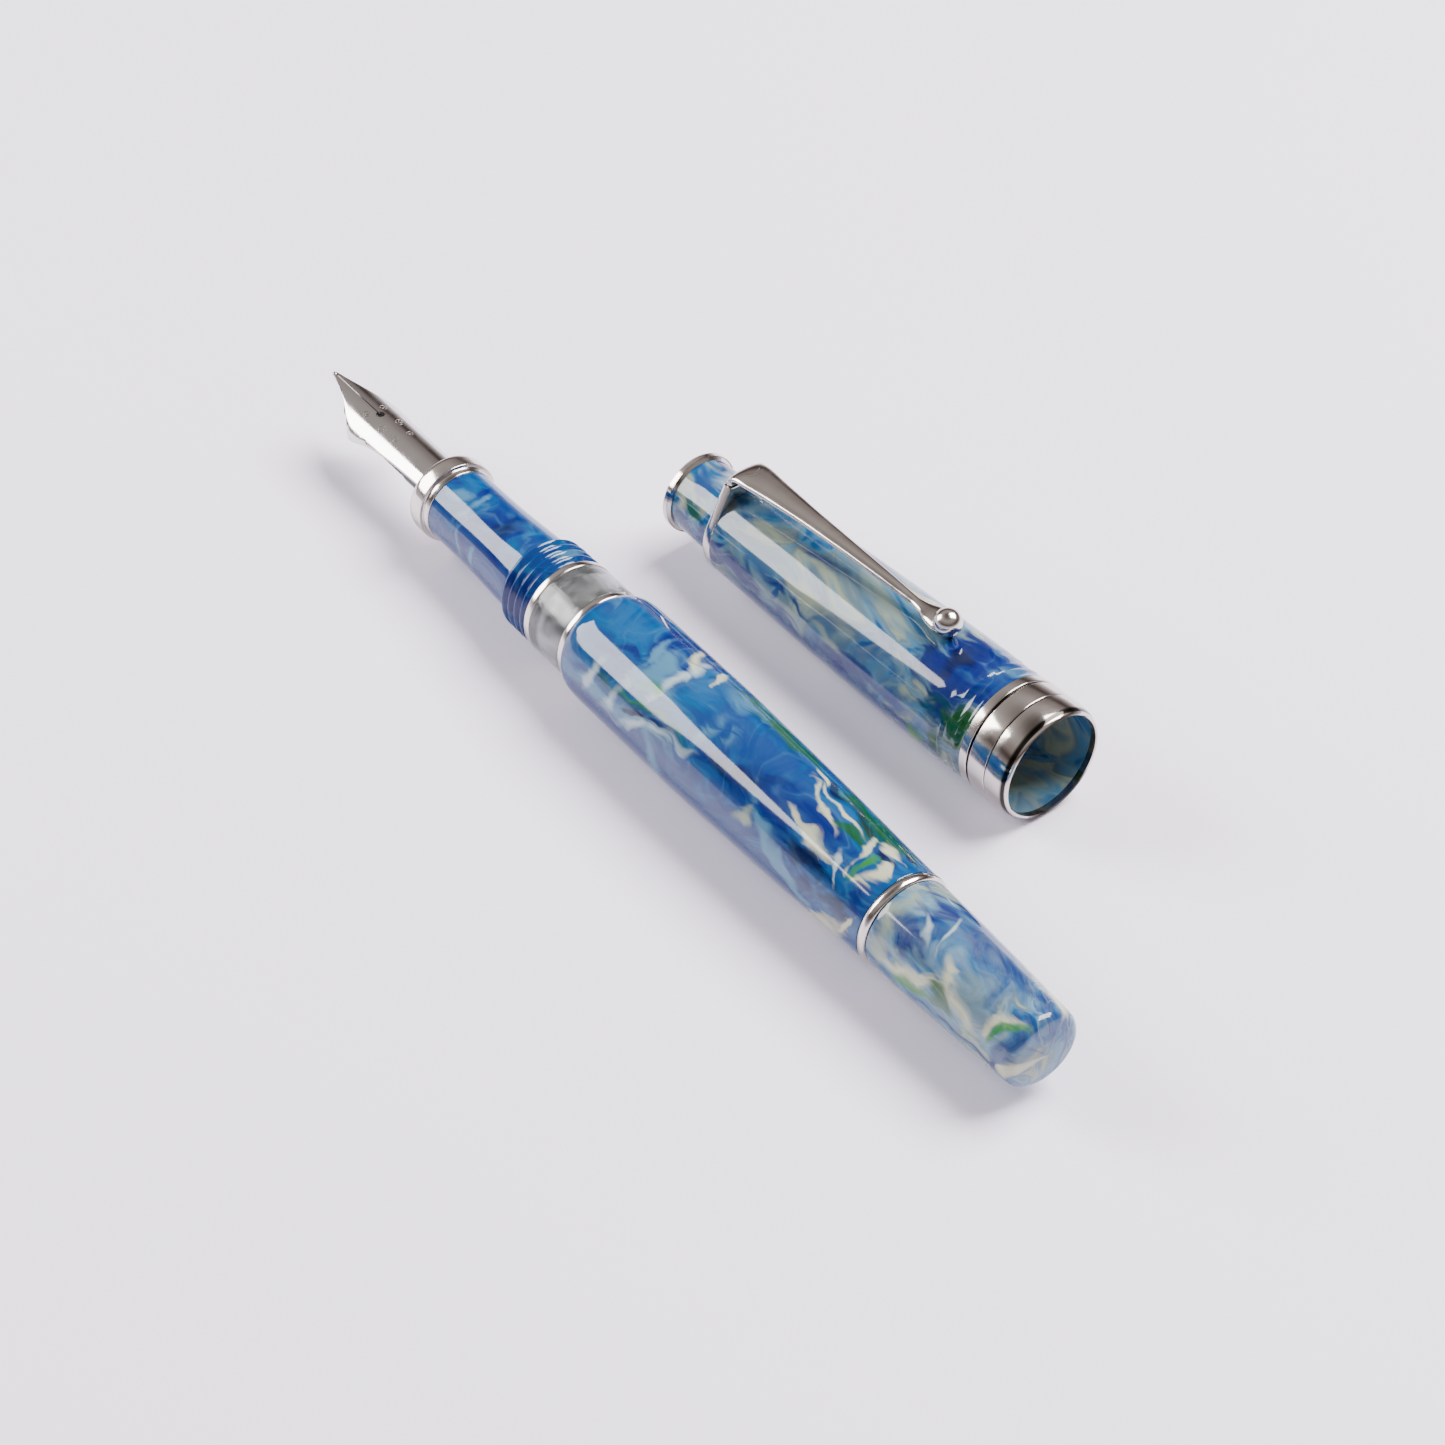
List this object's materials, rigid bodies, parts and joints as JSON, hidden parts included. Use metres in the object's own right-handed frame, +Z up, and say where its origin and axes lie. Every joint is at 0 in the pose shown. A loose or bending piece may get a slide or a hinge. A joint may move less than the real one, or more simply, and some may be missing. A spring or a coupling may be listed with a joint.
{
  "type": "fountain pen",
  "caption": "Piston-filled fountain pen in marbled resin with polished metal trim, uncapped, with its screw cap and clip lying beside it.",
  "frame": {"origin": "centre of the bounding box's bottom face, on the surface that the pen and the cap lie on", "axes": "+X along the pen from nib to filling knob, +Z up from the surface"},
  "size_m": [0.1382, 0.0417, 0.0179],
  "materials": {
    "resin_barrel": "polished marbled resin",
    "resin_section": "polished marbled resin",
    "resin_knob": "polished marbled resin",
    "resin_cap": "polished marbled resin",
    "resin_finial_neck": "polished marbled resin",
    "polished_trim": "polished nickel",
    "clear_acrylic": "clear polished acrylic",
    "nib_steel": "polished steel",
    "inner_plastic": "satin black",
    "feed_black": "satin black",
    "inner_brass": "turned brass",
    "seal_rubber": "matt black rubber"
  },
  "bodies": {
    "pen": {"barrel": "resin_barrel", "section": "resin_section", "section_ring": "polished_trim", "window_ring_front": "polished_trim", "ink_window": "clear_acrylic", "window_ring_rear": "polished_trim", "section_gasket": "seal_rubber", "barrel_gasket": "seal_rubber", "mechanism_sleeve": "inner_brass", "sleeve_seal_ring": "seal_rubber", "rear_ring": "polished_trim", "nib": "nib_steel", "nib_tipping": "nib_steel", "nib_collar": "inner_plastic", "feed": "feed_black"},
    "piston": {"piston_rod": "inner_plastic", "piston_seal": "seal_rubber"},
    "filling_knob": {"knob": "resin_knob", "knob_bush": "inner_brass", "spindle": "inner_brass"},
    "cap": {"cap_shell": "resin_cap", "cap_band": "polished_trim", "clip_ring": "polished_trim", "inner_cap": "inner_plastic", "finial_neck": "resin_finial_neck", "finial_disc": "polished_trim"},
    "clip": {"clip_arm": "polished_trim", "clip_ball": "polished_trim"}
  },
  "joints": [
    {"name": "knob_turn", "type": "hinge", "parent": "pen", "child": "filling_knob", "pos_m": [0.0569, -0.01397, 0.0069], "axis": [1, 0, 0], "range_deg": [0, 1980]},
    {"name": "piston_slide", "type": "slide", "parent": "pen", "child": "piston", "axis": [-1, 0, 0], "range_m": [0, 0.0331]},
    {"name": "cap_slide", "type": "slide", "parent": "pen", "child": "cap", "axis": [-0.9986, -0.0523, 0], "range_m": [0, 0.06]},
    {"name": "clip_flex", "type": "hinge", "parent": "cap", "child": "clip", "pos_m": [-0.01638, 0.01078, 0.015], "axis": [0.0523, -0.9986, 0], "range_deg": [0, 4], "stiffness_Nm_per_rad": 0.5}
  ],
  "couplings": [
    {"joint": "piston_slide", "follows": "knob_turn", "m_per_rad": 0.00095493}
  ]
}
